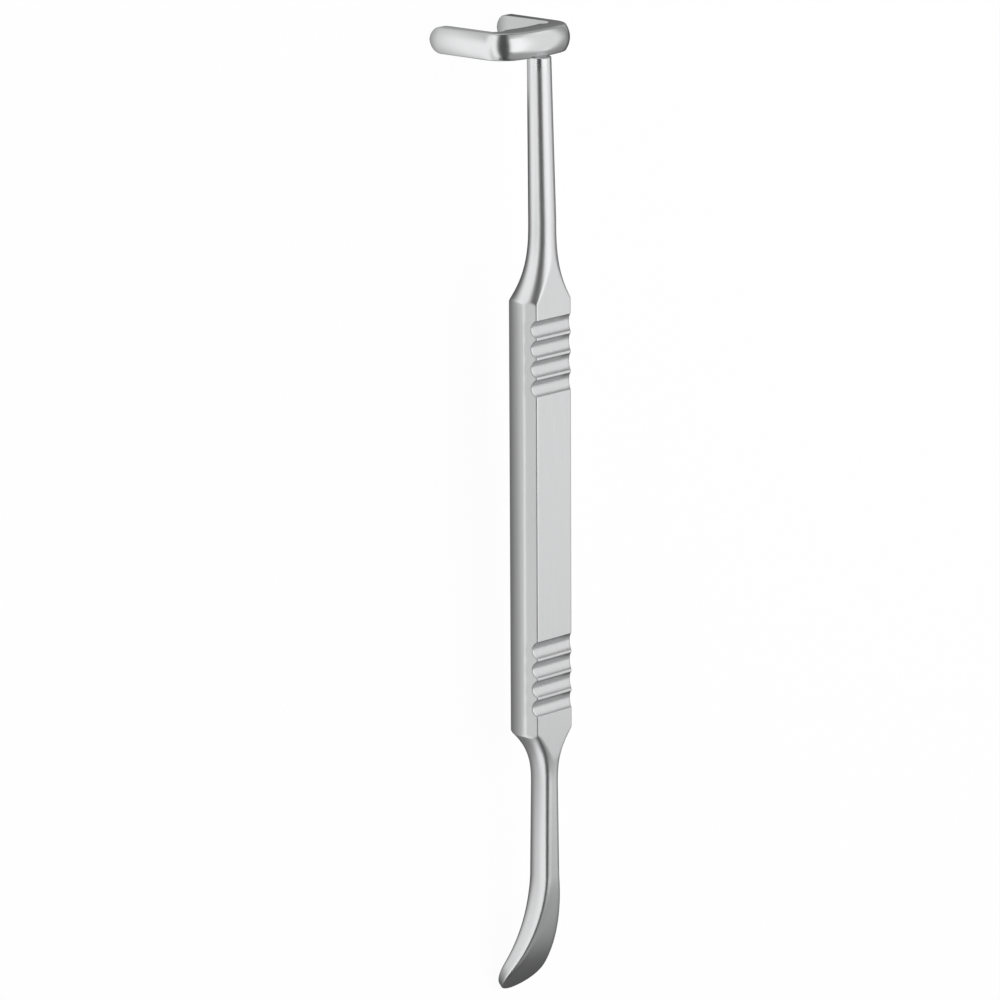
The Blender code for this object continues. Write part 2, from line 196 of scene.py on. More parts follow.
def ring_spots():
    """Spots round the sharp outline, with the vector by which a groove moves each."""
    spots, pushes = [], []
    slide = (HANDLE_WIDTH - WIDE_FACE_WIDTH) / (HANDLE_THICKNESS - SIDE_FACE_HEIGHT)
    points = corners()
    for i, start in enumerate(points):
        end = points[(i + 1) % len(points)]
        length = np.hypot(*(end - start))
        inner = np.linspace(EDGE_ROWS[-1], length - EDGE_ROWS[-1], int(length / FACE_ROW) + 2)
        near_start = np.array(EDGE_ROWS[:-1])
        rows = np.unique(np.concatenate([[0.0], near_start, inner, length - near_start]))
        for row in rows:
            spot = start + (end - start) * row / length
            lift = 0.5 * HANDLE_THICKNESS - spot[1]
            share = max(0.0, 1.0 - lift / (0.5 * (HANDLE_THICKNESS - SIDE_FACE_HEIGHT)))
            aside = slide * share * np.clip(spot[0] / (0.5 * WIDE_FACE_WIDTH), -1.0, 1.0)
            spots.append(spot)
            pushes.append((aside, 0.0, -share))
    return np.array(spots), np.array(pushes)


spots, pushes = ring_spots()
angles = np.arctan2(spots[:, 1], spots[:, 0])
ring_size = len(angles)
print("points in a ring:", ring_size)

# %% [markdown]
# ### Necks and shanks
#
# Each neck flares from its shank like a trumpet until it is wider than the handle, and
# the eight flats cut through it. That cut gives the pointed tongues where the flats run
# out, so nothing has to be drawn by hand.

# %% Sections square to the axis
def neck_oval():
    """Half width and half depth of the flare where it passes the handle's corners."""
    half_depth = 0.5 * HANDLE_THICKNESS + NECK_OVAL_MARGIN
    reaches = [abs(x) / math.sqrt(1.0 - (z / half_depth) ** 2) for x, z in corners()]
    return max(reaches), half_depth


def flare_section(share, rise, half_width, half_depth, squareness):
    """Middle, half width, half depth and squareness part of the way down a neck."""
    end_width, end_depth = neck_oval()
    flare = share ** NECK_CURVE
    settled = min(1.0, flare)
    middle = rise * (1.0 - settled)
    wide = half_width + (end_width - half_width) * flare
    deep = half_depth + (end_depth - half_depth) * flare
    return middle, wide, deep, squareness + (2.0 - squareness) * settled


def level_section(y):
    """Middle, half width, half depth and squareness of the blank at a place on the axis."""
    if y > HEAD_FOOT - JOINT_LENGTH:
        part = min(1.0, (y - HEAD_FOOT + JOINT_LENGTH) / JOINT_LENGTH)
        radius = 0.5 * SHANK_HEAD_DIAMETER
        back = SHANK_HEAD_RISE - radius
        front = SHANK_HEAD_RISE + radius
        front += (HEAD_FRONT - JOINT_INSET - front) * part ** 2
        squareness = 2.0 + (JOINT_SQUARENESS - 2.0) * part ** 2
        return 0.5 * (front + back), radius, 0.5 * (front - back), squareness
    if y > NECK_TOP:
        part = (y - NECK_TOP) / (HEAD_FOOT - JOINT_LENGTH - NECK_TOP)
        radius = 0.5 * (SHANK_NECK_DIAMETER + (SHANK_HEAD_DIAMETER - SHANK_NECK_DIAMETER) * part)
        return SHANK_NECK_RISE + (SHANK_HEAD_RISE - SHANK_NECK_RISE) * part, radius, radius, 2.0
    if y > 0.0:
        radius = 0.5 * SHANK_NECK_DIAMETER
        return flare_section((NECK_TOP - y) / UPPER_NECK_LENGTH, SHANK_NECK_RISE, radius, radius, 2.0)
    shank = np.array([0.5 * LOWER_SHANK_WIDTH, 0.5 * LOWER_SHANK_DEPTH, LOWER_SHANK_SQUARENESS])
    if y > NECK_FOOT:
        return flare_section((y - NECK_FOOT) / LOWER_NECK_LENGTH, LOWER_SHANK_RISE, *shank)
    bend = np.array([0.5 * BEND_WIDTH, 0.5 * BEND_DEPTH, BEND_SQUARENESS])
    return (LOWER_SHANK_RISE, *(shank + (bend - shank) * (NECK_FOOT - y) / LOWER_SHANK_LENGTH))


def level_ring(y):
    """Ring of points at a place on the axis, cut by the flats inside the handle."""
    rise, half_width, half_depth, squareness = level_section(y)
    reach = oval_reach(angles, half_width, half_depth, squareness)
    if NECK_FOOT < y < NECK_TOP:
        reach = smooth_min(reach, flats_reach(angles, rise), CREASE_SOFTNESS)
    x, z = reach * np.cos(angles), rise + reach * np.sin(angles)
    return np.stack([x, np.full(ring_size, y), z], -1)


print("flare passes the corners at", [round(v, 5) for v in neck_oval()])

# %% [markdown]
# ### The blade
#
# The blade bends away from the front along one arc while it widens and thins, and its tip
# is a rounded tongue. Its rings turn with the arc. The directions round a ring are spread
# as the bar's own section spreads them, so that the points stay where they are needed
# while the section flattens.

# %% Sections round the bend
BLADE_RINGS, TIP_RINGS = 50, 25
TIP_SHARE = BLADE_TIP_LENGTH / (BLADE_FRONT_RADIUS * BLADE_BEND)
TIP_END = 0.97


def blade_ring(share):
    """Ring of the blade at a share of its bend."""
    into_tip = max(0.0, share - (1.0 - TIP_SHARE)) / TIP_SHARE
    roundness = math.sqrt(1.0 - into_tip ** 2)
    width = BEND_WIDTH + (BLADE_WIDTH - BEND_WIDTH) * share ** BLADE_WIDENING
    thickness = BEND_DEPTH - (BEND_DEPTH - BLADE_TIP_THICKNESS) * share ** BLADE_THINNING
    thickness *= 1.0 - BLADE_TIP_THINNING * (1.0 - roundness)
    squareness = BEND_SQUARENESS + (BLADE_TIP_SQUARENESS - BEND_SQUARENESS) * share
    turn = BLADE_BEND * share
    out = np.array([0.0, -math.sin(turn), math.cos(turn)])
    front = LOWER_SHANK_RISE + 0.5 * BEND_DEPTH
    centre = np.array([0.0, BEND_START, front - BLADE_FRONT_RADIUS])
    middle = centre + out * (BLADE_FRONT_RADIUS - 0.5 * thickness)
    spread = np.arctan2(np.sin(angles) / BEND_DEPTH, np.cos(angles) / BEND_WIDTH)
    reach = oval_reach(spread, 0.5, 0.5, squareness)
    sideways = np.array([width * roundness, 0.0, 0.0])
    wide = np.outer(reach * np.cos(spread), sideways)
    return middle + wide + np.outer(reach * np.sin(spread), thickness * out)


def blade_shares():
    """Shares of the bend at which rings are made, close together at the tip."""
    quarter = np.linspace(0.0, 0.5 * math.pi * TIP_END, TIP_RINGS)[1:]
    before_tip = np.linspace(0.0, 1.0 - TIP_SHARE, BLADE_RINGS)[1:]
    return np.concatenate([before_tip, 1.0 - TIP_SHARE * (1.0 - np.sin(quarter))])


print("blade rings:", len(blade_shares()))

# %% [markdown]
# ### Where the rings go
#
# Rings are close together where the flats run out and across the finger grooves, and far
# apart where nothing changes.

# %% Stations along the axis
GROOVES, GROOVE_PITCH, GROOVE_WIDTH, GROOVE_DEPTH = 4, 0.00446, 0.0039, 0.00108
UPPER_SETBACK, LOWER_SETBACK = 0.0055, 0.0064
UPPER_FIRST, LOWER_FIRST = HANDLE_TOP - UPPER_SETBACK, -HANDLE_TOP + LOWER_SETBACK
RIM_ASIDE = (-0.00009, -0.00003, 0.00003, 0.00009)
RIM_CLEARANCE = 0.00004
JOINT_SHARES = (0.0, 0.4, 0.7, 0.9, 1.0)
# Where each stretch starts, from the head to the bend, and the spacing of its rings
STRETCHES = (
    (HEAD_FOOT + 0.5 * STRIP_HEIGHT, 0.0004),  # inside the head and at its joint
    (HEAD_FOOT - 0.004, 0.0012),  # upper shank
    (NECK_TOP, 0.0006),  # upper neck
    (HANDLE_TOP + 0.008, 0.00027),  # tongues and upper grooves
    (HANDLE_TOP - 0.021, 0.003),  # plain middle of the handle
    (-HANDLE_TOP + 0.022, 0.00027),  # lower grooves and tongues
    (-HANDLE_TOP - 0.0055, 0.0005),  # lower neck
    (NECK_FOOT, 0.001),  # lower shank
)


def rim_stations():
    """Four rings close together at both rims of every groove, so that the rims stay crisp."""
    steps = np.arange(GROOVES) * GROOVE_PITCH
    middles = np.concatenate([UPPER_FIRST - steps, LOWER_FIRST + steps])
    rims = np.concatenate([middles - 0.5 * GROOVE_WIDTH, middles + 0.5 * GROOVE_WIDTH])
    return np.concatenate([rims + aside for aside in RIM_ASIDE])


def stations():
    """Places of the level rings, from inside the head to the start of the bend."""
    starts = [start for start, spacing in STRETCHES]
    plain = [starts[:1]]
    for (start, spacing), end in zip(STRETCHES, starts[1:] + [BEND_START]):
        plain.append(np.linspace(start, end, int(round((start - end) / spacing)) + 1)[1:])
    plain = np.concatenate(plain)
    rims = np.concatenate([rim_stations(), HEAD_FOOT - JOINT_LENGTH * np.array(JOINT_SHARES)])
    plain = plain[np.abs(plain[:, None] - rims).min(axis=1) > RIM_CLEARANCE]
    return np.sort(np.concatenate([plain, rims]))[::-1]


rings = [level_ring(y) for y in stations()] + [blade_ring(share) for share in blade_shares()]
print("rings:", len(rings), "of", ring_size, "points")

# %% Blank as a mesh
def closed_mesh(name, rows):
    """A closed mesh through rings of equal size, capped at both ends."""
    count, size = len(rows), len(rows[0])
    own = np.arange(count * size).reshape(count, size)
    here, there = own[:-1], own[1:]
    quads = np.stack([here, np.roll(here, -1, 1), np.roll(there, -1, 1), there], -1).reshape(-1, 4)
    caps = [own[0].tolist(), own[-1].tolist()]
    mesh = bpy.data.meshes.new(name)
    mesh.from_pydata(np.concatenate(rows).tolist(), [], quads.tolist() + caps)
    shape = bmesh.new()
    shape.from_mesh(mesh)
    bmesh.ops.recalc_face_normals(shape, faces=shape.faces)
    shape.to_mesh(mesh)
    shape.free()
    return mesh


blank_mesh = closed_mesh("blank", rings)
push_layer = blank_mesh.attributes.new("groove_push", "FLOAT_VECTOR", "POINT")
push_layer.data.foreach_set("vector", np.tile(pushes, (len(rings), 1)).astype(np.float32).ravel())
print("blank:", len(blank_mesh.vertices), "points")

# %% [markdown]
# ## A small workbench for nodes
#
# Both the grooves and the steel are made of nodes. A wire is a socket that understands
# sums, so that the rules below can be read as ordinary arithmetic.

# %% Wires and the bench
class Wire:
    """An output of a node that adds Math nodes when it is used in sums."""

    def __init__(self, bench, socket):
        self.bench, self.socket = bench, socket

    def combine(self, operation, first, second):
        return self.bench.calculate(operation, first, second)

    def __add__(self, other):
        return self.combine("ADD", self, other)

    def __radd__(self, other):
        return self.combine("ADD", other, self)

    def __sub__(self, other):
        return self.combine("SUBTRACT", self, other)

    def __rsub__(self, other):
        return self.combine("SUBTRACT", other, self)

    def __mul__(self, other):
        return self.combine("MULTIPLY", self, other)

    def __rmul__(self, other):
        return self.combine("MULTIPLY", other, self)

    def __truediv__(self, other):
        return self.combine("DIVIDE", self, other)

    def __rtruediv__(self, other):
        return self.combine("DIVIDE", other, self)


class Bench:
    """Adds nodes to a tree, sets them up and wires them."""

    def __init__(self, tree):
        self.tree = tree

    def add(self, kind, settings=None, values=None, output=0):
        """A node of a kind, with its settings made first and then its sockets."""
        node = self.tree.nodes.new(kind)
        for name, value in (settings or {}).items():
            setattr(node, name, value)
        for key, value in (values or {}).items():
            if isinstance(value, Wire):
                self.tree.links.new(value.socket, node.inputs[key])
            else:
                node.inputs[key].default_value = value
        return Wire(self, node.outputs[output]) if len(node.outputs) else node

    def calculate(self, operation, *values):
        """The result of a Math node."""
        return self.add("ShaderNodeMath", {"operation": operation}, dict(enumerate(values)))

    def coordinate(self, place, axis):
        """One coordinate of a place: 0 for X, 1 for Y and 2 for Z."""
        return self.add("ShaderNodeSeparateXYZ", {}, {0: place}, output=axis)

    def change(self, value, start, end, first=0.0, last=1.0):
        """A smooth change from a first number to a last one while a value goes from start to end."""
        return self.add("ShaderNodeMapRange", {"interpolation_type": "SMOOTHSTEP"}, {
            "Value": value, "From Min": start, "From Max": end, "To Min": first, "To Max": last})


print("bench ready")

# %% [markdown]
# ## Finger grooves
#
# Four shallow round grooves cross the front face near both ends of the handle. They could
# be cut with eight bars and a Boolean, but then their rims would be sharp and their faces
# long and thin. A Geometry Nodes tree presses them in instead. It works out how deep the
# nearest groove is at each point and moves the point by the push that the mesh carries:
# straight down on the wide face, and along the bevel at its edge, so that the ends of the
# grooves scallop the bevels as a grinding wheel leaves them.

# %% Sizes of the grooves
groove_sizes = {
    "Groove pitch": GROOVE_PITCH,
    "Groove width": GROOVE_WIDTH,
    "Groove depth": GROOVE_DEPTH,
    "Rim softness": 0.00004,
    "Last groove": GROOVES - 1.0,
    "Upper first groove": UPPER_FIRST,
    "Lower first groove": LOWER_FIRST,
}
print("grooves on the front face:", 2 * GROOVES)

# %% Groove tree
groove_tree = bpy.data.node_groups.new("finger_grooves", "GeometryNodeTree")
groove_tree.interface.new_socket("Geometry", in_out="INPUT", socket_type="NodeSocketGeometry")
groove_tree.interface.new_socket("Geometry", in_out="OUTPUT", socket_type="NodeSocketGeometry")
for name in groove_sizes:
    groove_tree.interface.new_socket(name, in_out="INPUT", socket_type="NodeSocketFloat")
groove_tree.interface.new_socket("Steel", in_out="INPUT", socket_type="NodeSocketMaterial")
bench = Bench(groove_tree)
group_input = groove_tree.nodes.new("NodeGroupInput")
given = {socket.name: Wire(bench, socket) for socket in group_input.outputs if socket.name}
print("inputs:", sorted(given))


# %% Depth of the nearest groove
def groove_depth(distance):
    """How far the nearest groove of a row is below the face, as nodes, before it is clipped."""
    pitch, depth = given["Groove pitch"], given["Groove depth"]
    nearest = bench.calculate("ROUND", distance / pitch)
    step = bench.add("ShaderNodeClamp", {}, {"Value": nearest, "Min": 0.0, "Max": given["Last groove"]})
    aside = distance - step * pitch
    radius = (given["Groove width"] * given["Groove width"] / 4.0 + depth * depth) / (2.0 * depth)
    below = bench.calculate("MAXIMUM", radius * radius - aside * aside, 0.0)
    return bench.calculate("SQRT", below) - (radius - depth)


along = bench.coordinate(bench.add("GeometryNodeInputPosition"), 1)
upper_depth = groove_depth(given["Upper first groove"] - along)
lower_depth = groove_depth(along - given["Lower first groove"])
raw_depth = bench.calculate("MAXIMUM", upper_depth, lower_depth)
soft_depth = bench.calculate("SMOOTH_MAX", raw_depth, 0.0, given["Rim softness"])
print("nodes so far:", len(groove_tree.nodes))

# %% Press the grooves in
push = bench.add("GeometryNodeInputNamedAttribute", {"data_type": "FLOAT_VECTOR"},
                 {"Name": "groove_push"})
offset = bench.add("ShaderNodeVectorMath", {"operation": "SCALE"}, {0: push, "Scale": soft_depth})
pressed = bench.add("GeometryNodeSetPosition", {}, {"Geometry": given["Geometry"], "Offset": offset})
realized = bench.add("GeometryNodeRealizeInstances", {}, {"Geometry": pressed})
finished = bench.add("GeometryNodeSetMaterial", {}, {"Geometry": realized, "Material": given["Steel"]})
group_output = groove_tree.nodes.new("NodeGroupOutput")
groove_tree.links.new(finished.socket, group_output.inputs[0])
print("groove tree:", len(groove_tree.nodes), "nodes")

# %% [markdown]
# ## Satin steel
#
# The steel is one metal everywhere, ground lengthwise on the handle and satin finished on
# the shanks, head and blade. The finish is fine enough that it shows as a soft streak or
# grain and not as scratches. The streaks are noise stretched along the length, and the
# grain is the same noise left round. Both change the roughness, the tone and the bump a
# little, and faint clouds keep any face from being even. At glancing angles a mirror goes
# white, but a satin face stays grey, so the tint there is set to a darker grey.

# %% Material
steel = bpy.data.materials.new("satin_steel_finish")
steel.use_nodes = True
steel_bench = Bench(steel.node_tree)
steel_shader = steel.node_tree.nodes["Principled BSDF"]
STREAK_SCALE, GRAIN_SCALE = (2400.0, 16.0, 2400.0), (4200.0, 4200.0, 4200.0)
CLOUD_SCALE = 55.0
GLANCING_TINT = (0.45, 0.45, 0.45, 1.0)
steel_shader.inputs["Metallic"].default_value = 1.0
steel_shader.inputs["Specular Tint"].default_value = GLANCING_TINT
coordinates = steel_bench.add("ShaderNodeTexCoord", output=3)
streak_space = steel_bench.add("ShaderNodeMapping", {}, {"Vector": coordinates, "Scale": STREAK_SCALE})
grain_space = steel_bench.add("ShaderNodeMapping", {}, {"Vector": coordinates, "Scale": GRAIN_SCALE})


def noise(space, scale, detail):
    """Noise of a scale and a detail in a space."""
    return steel_bench.add("ShaderNodeTexNoise", {}, {"Vector": space, "Scale": scale, "Detail": detail})


streaks = noise(streak_space, 1.0, 3.0)
grain = noise(grain_space, 1.0, 2.0)
clouds = noise(coordinates, CLOUD_SCALE, 2.0)
print("streaks and grain ready")

# %% Ground handle against satin ends
GRINDING_START, GRINDING_FULL = HANDLE_TOP + 0.004, HANDLE_TOP - 0.001
HEAD_POLISH_START = HEAD_FOOT - 0.004
GRAIN_BASE, GRAIN_SHARE = 0.33, 0.35
BASE_ROUGHNESS, FINISH_ROUGHNESS, CLOUD_ROUGHNESS, HEAD_POLISH = 0.27, 0.07, 0.04, 0.08
DARK_STEEL, LIGHT_STEEL = (0.70, 0.705, 0.71, 1.0), (0.86, 0.865, 0.87, 1.0)
TONE_BASE, TONE_SHARE = 0.25, 0.5
RELIEF_STRENGTH, RELIEF_DEPTH = 0.07, 0.00002
length_place = steel_bench.coordinate(coordinates, 1)
from_middle = steel_bench.calculate("ABSOLUTE", length_place)
ground = steel_bench.change(from_middle, GRINDING_START, GRINDING_FULL)
finish = streaks * ground + (GRAIN_BASE + GRAIN_SHARE * grain) * (1.0 - ground)
on_head = steel_bench.change(length_place, HEAD_POLISH_START, HEAD_FOOT)
roughness = BASE_ROUGHNESS + FINISH_ROUGHNESS * finish + CLOUD_ROUGHNESS * clouds - HEAD_POLISH * on_head
steel_bench.tree.links.new(roughness.socket, steel_shader.inputs["Roughness"])
tone = steel_bench.add("ShaderNodeMix", {"data_type": "RGBA"}, {
    "Factor": TONE_BASE + TONE_SHARE * finish, 6: DARK_STEEL, 7: LIGHT_STEEL}, output=2)
steel_bench.tree.links.new(tone.socket, steel_shader.inputs["Base Color"])
relief = steel_bench.add("ShaderNodeBump", {}, {
    "Strength": RELIEF_STRENGTH, "Distance": RELIEF_DEPTH, "Height": finish})
steel_bench.tree.links.new(relief.socket, steel_shader.inputs["Normal"])
print("steel:", len(steel.node_tree.nodes), "nodes")

# %% Run the groove tree on the blank
blank = bpy.data.objects.new("blank", blank_mesh)
bpy.context.scene.collection.objects.link(blank)
grooving = blank.modifiers.new("finger_grooves", "NODES")
grooving.node_group = groove_tree
for item in groove_tree.interface.items_tree:
    if item.in_out == "INPUT" and item.name in groove_sizes:
        grooving[item.identifier] = groove_sizes[item.name]
    if item.in_out == "INPUT" and item.name == "Steel":
        grooving[item.identifier] = steel


def plain_mesh(thing, name):
    """The finished mesh of an object, with its modifiers worked in."""
    bpy.context.view_layer.update()
    graph = bpy.context.evaluated_depsgraph_get()
    mesh = bpy.data.meshes.new_from_object(thing.evaluated_get(graph))
    mesh.name = name
    return mesh


grooved_mesh = plain_mesh(blank, "grooved_bar")
print("grooved bar:", len(grooved_mesh.polygons), "faces")

# %% [markdown]
# ## The head
#
# The stripper head is a thick strip bent to a C, crowned on its outside and flat inside,
# with round tips that are bevelled on the inner side. It follows a path, so it is lofted
# along it. Half of the path is three arcs that touch: an arm that bows by one degree, the
# corner, and half of a web that bows by eleven. The other half is its mirror image. The
# lengths of the arm and the web follow from the width and the depth of the head.

# %% Path of the strip
TIP_STEPS, TIP_STUB, BEND_STEPS = 18, 0.6, 22
ARM_TURN, WEB_TURN = math.radians(1.0), math.radians(79.0)
BEVEL_EDGE = 0.00012
ARM_FIRST, ARM_LAST, ARM_STATIONS = 0.006, 0.001, 8
WEB_SHARES = np.array([0.2, 0.4, 0.6, 0.8, 1.0])


def arc_step(first, last):
    """How far an arc of unit length goes across and down while it turns between two angles."""
    turn = last - first
    return np.array([math.cos(first) - math.cos(last), math.sin(last) - math.sin(first)]) / turn


def arc_lengths():
    """Lengths of the arm, the corner and half the web, which end in the middle of the web."""
    corner = CORNER_RADIUS * (WEB_TURN - ARM_TURN)
    left = np.array([0.5 * HEAD_WIDTH, HEAD_ARM_LENGTH]) - corner * arc_step(ARM_TURN, WEB_TURN)
    steps = np.stack([arc_step(0.0, ARM_TURN), arc_step(WEB_TURN, 0.5 * math.pi)], -1)
    arm, web = np.linalg.solve(steps, left)
    return arm, corner, web


def arm_distances(arm):
    """Distances from the tip along an arm, close together in its round end and at the bevel's end."""
    quarter = 0.5 * math.pi * (np.arange(TIP_STEPS + 1) + TIP_STUB) / (TIP_STEPS + TIP_STUB)
    tip = 0.5 * STRIP_HEIGHT * (1.0 - np.cos(quarter))
    bevel = [ARM_BEVEL_LENGTH - BEVEL_EDGE, ARM_BEVEL_LENGTH + BEVEL_EDGE]
    return np.concatenate([tip, bevel, np.linspace(ARM_FIRST, arm - ARM_LAST, ARM_STATIONS)])


def strip_thickness(distance, thickened):
    """Thickness at a distance from the tip, where the strip is part of the way to the web's."""
    bevel = min(1.0, distance / ARM_BEVEL_LENGTH)
    arm = ARM_TIP_THICKNESS + (ARM_THICKNESS - ARM_TIP_THICKNESS) * bevel
    return arm + (WEB_THICKNESS - ARM_THICKNESS) * thickened


def strip_path():
    """Place on the outer face, outward direction, thickness and distance to the tip."""
    arm, corner, web = arc_lengths()
    round_corner = np.linspace(0.0, 1.0, BEND_STEPS + 1)
    arcs = [(0.0, ARM_TURN, arm, arm_distances(arm) / arm, (0.0, 0.0)),
            (ARM_TURN, WEB_TURN, corner, round_corner, (0.0, 1.0)),
            (WEB_TURN, 0.5 * math.pi, web, WEB_SHARES, (1.0, 1.0))]
    start, walked, path = np.array([0.5 * HEAD_WIDTH, HEAD_ARM_LENGTH]), 0.0, []
    for first, last, length, shares, (thin, thick) in arcs:
        for share in shares:
            turned = first + (last - first) * share
            spot = start - length * share * arc_step(first, turned) if share > 0.0 else start
            distance = walked + share * length
            thickness = strip_thickness(distance, thin + (thick - thin) * share)
            path.append((tuple(spot), (math.cos(turned), -math.sin(turned)), thickness, distance))
        start = start - length * arc_step(first, last)
        walked += length
    other = [((-x, z), (-u, v), t, d) for (x, z), (u, v), t, d in reversed(path[:-1])]
    return path + other


print("stations round the head:", len(strip_path()))


# %% Section of the strip
CROWN_POINTS, EDGE_POINTS, SIDE_POINTS = 27, 5, 3
LARGEST_EDGE, INNER_ROW = 0.25, 0.4


def curve_corner(start, corner, end, steps):
    """Points of the soft corner between two sides, without its last point."""
    share = np.linspace(0.0, 1.0, steps + 1)[:-1, None]
    start, corner, end = np.array(start), np.array(corner), np.array(end)
    return (1.0 - share) ** 2 * start + 2.0 * share * (1.0 - share) * corner + share ** 2 * end


def strip_section(height, thickness):
    """Outline of the strip: how far out and how high, anticlockwise from the lower rim."""
    half = 0.5 * height
    edge = min(STRIP_EDGE, LARGEST_EDGE * height, LARGEST_EDGE * thickness)
    crown = STRIP_CROWN * (height / STRIP_HEIGHT) ** 2
    level = np.linspace(-1.0, 1.0, CROWN_POINTS)
    outside = np.stack([crown * (1.0 - level ** 2), level * (half - edge)], -1)
    lean = 2.0 * crown / max(half - edge, TINY)
    rim_end = (-edge * (lean + 1.0), half)
    rim = curve_corner((0.0, half - edge), (-edge * lean, half), rim_end, EDGE_POINTS)[1:]
    inner_corner, inner_end = (-thickness, half), (-thickness, half - edge)
    inner = curve_corner((edge - thickness, half), inner_corner, inner_end, EDGE_POINTS)
    across = np.linspace(rim[-1][0], inner[0][0], SIDE_POINTS + 2)[1:-1]
    side = np.stack([across, np.full(SIDE_POINTS, half)], -1)
    flat = [(-thickness, half - edge), (-thickness, INNER_ROW * half)]
    upper = np.concatenate([rim, side, inner, flat])
    return np.concatenate([outside, upper, upper[::-1] * (1.0, -1.0)])


def head_rings():
    """Rings of the head in the straight position."""
    middle, tip = HEAD_FOOT + 0.5 * STRIP_HEIGHT, 0.5 * STRIP_HEIGHT
    rows = []
    for (x, z), (u, v), thickness, distance in strip_path():
        into_tip = max(0.0, 1.0 - distance / tip)
        section = strip_section(STRIP_HEIGHT * math.sqrt(1.0 - into_tip ** 2), thickness)
        out, level = section[:, 0], section[:, 1]
        rows.append(np.stack([x + u * out, middle + level, HEAD_FRONT - (z + v * out)], -1))
    return rows


head_mesh = closed_mesh("head", head_rings())
head = bpy.data.objects.new("head", head_mesh)
bpy.context.scene.collection.objects.link(head)
print("head:", len(head_mesh.vertices), "points")

# %% [markdown]
# The head and the bar are one piece of steel, so a Boolean joins them into one closed
# skin. The joined mesh is then laid down by moving its points, so that the object itself
# stays at the origin, unturned.

# %% One piece of steel
SHARP_ANGLE = math.radians(38.0)
bar = bpy.data.objects.new("bar", grooved_mesh)
bpy.context.scene.collection.objects.link(bar)
joining = bar.modifiers.new("join_head", "BOOLEAN")
joining.operation, joining.solver, joining.object = "UNION", "EXACT", head
steel_mesh = plain_mesh(bar, "elevator_steel")
for helper in (blank, head, bar):
    bpy.data.objects.remove(helper, do_unlink=True)
steel_mesh.transform(lying)
steel_mesh.attributes.remove(steel_mesh.attributes["groove_push"])
steel_mesh.materials.clear()
steel_mesh.materials.append(steel)
steel_mesh.shade_smooth()
steel_mesh.set_sharp_from_angle(angle=SHARP_ANGLE)
elevator = bpy.data.objects.new("elevator_steel", steel_mesh)
bpy.context.scene.collection.objects.link(elevator)
steel_mesh.calc_loop_triangles()
print("elevator:", len(steel_mesh.loop_triangles), "triangles")

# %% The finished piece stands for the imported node
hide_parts("rib_elevator")
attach(elevator, "root")
print("piece placed")

# %% [markdown]
# ## Camera
#
# The photograph looks at the instrument from the left of its front and a little from the
# head's end. Seen from the floor, that is a camera about forty degrees up, turned so that
# the instrument stands upright in the frame.

# %% Camera at the photograph's angle
CAMERA_TURN, CAMERA_LIFT = math.radians(48.005), math.radians(13.294)
CAMERA_ROLL, CAMERA_DISTANCE = math.radians(-0.2825), 1.5
AIM_RIGHT, AIM_UP = -0.009025, 0.003456
PHOTO_PIXELS, PIXELS_PER_METRE = 1000.0, 4477.8
SENSOR_WIDTH, CLIP_END = 36.0, 20.0
toward = Vector((-math.sin(CAMERA_TURN) * math.cos(CAMERA_LIFT), math.sin(CAMERA_LIFT),
                 math.cos(CAMERA_TURN) * math.cos(CAMERA_LIFT)))
right = Vector((math.cos(CAMERA_TURN), 0.0, math.sin(CAMERA_TURN)))
up = toward.cross(right)
aim = right * AIM_RIGHT + up * AIM_UP
rolled_right = right * math.cos(CAMERA_ROLL) + up * math.sin(CAMERA_ROLL)
rolled_up = up * math.cos(CAMERA_ROLL) - right * math.sin(CAMERA_ROLL)
seat = Matrix((rolled_right, rolled_up, toward)).transposed().to_4x4()
seat.translation = aim + toward * CAMERA_DISTANCE
camera = bpy.data.objects.new("camera", bpy.data.cameras.new("camera"))
camera.data.sensor_width = SENSOR_WIDTH
camera.data.lens = SENSOR_WIDTH * PIXELS_PER_METRE * CAMERA_DISTANCE / PHOTO_PIXELS
camera.data.clip_end = CLIP_END
camera.matrix_world = lying @ seat
bpy.context.scene.collection.objects.link(camera)
bpy.context.scene.camera = camera
bpy.context.scene.view_settings.view_transform = "Standard"
camera_height = math.degrees(math.asin(camera.matrix_world.col[2].z))
print("camera", round(camera_height, 1), "degrees above the floor")

# %% [markdown]
# ## Floor and light
#
# Satin metal shows what stands round it, so the studio is half of its look. Long soft
# panels stand round the instrument, all with their edges along it. The side that the
# camera is on is left open and dark, and that gives every rounded form a dark line
# between two bright bands. The panels could be one large dome, but then the dark line
# and the fall of tone towards the blade would be lost.
#
# The floor is white paper to the camera, and keeps the shadow. In the mirror of the steel its
# tone is painted: painted light on the paper at the left and painted shade under the
# instrument, which draws the dark outlines of the real piece.

# %% Floor
FLOOR_REACH = 6.0
floor_shape = bmesh.new()
bmesh.ops.create_grid(floor_shape, x_segments=1, y_segments=1, size=FLOOR_REACH)
floor_mesh = bpy.data.meshes.new("floor")
floor_shape.to_mesh(floor_mesh)
floor_shape.free()
floor = bpy.data.objects.new("floor", floor_mesh)
bpy.context.scene.collection.objects.link(floor)
paper = bpy.data.materials.new("white_paper")
paper.use_nodes = True
paper.node_tree.nodes.clear()
floor.data.materials.append(paper)
print("floor", floor.dimensions[0], "m wide")

# %% Floor, with painted light and shade in the steel's reflection of it
# Painted light and shade of the mirrored paper: from one place to another, and the tone at each of them
SHANK_PAINTED_SHADE = (-0.024, -0.003, 1.04, 0.13)
HANDLE_PAINTED_SHADE = (-0.030, -0.004, 0.62, 0.27)
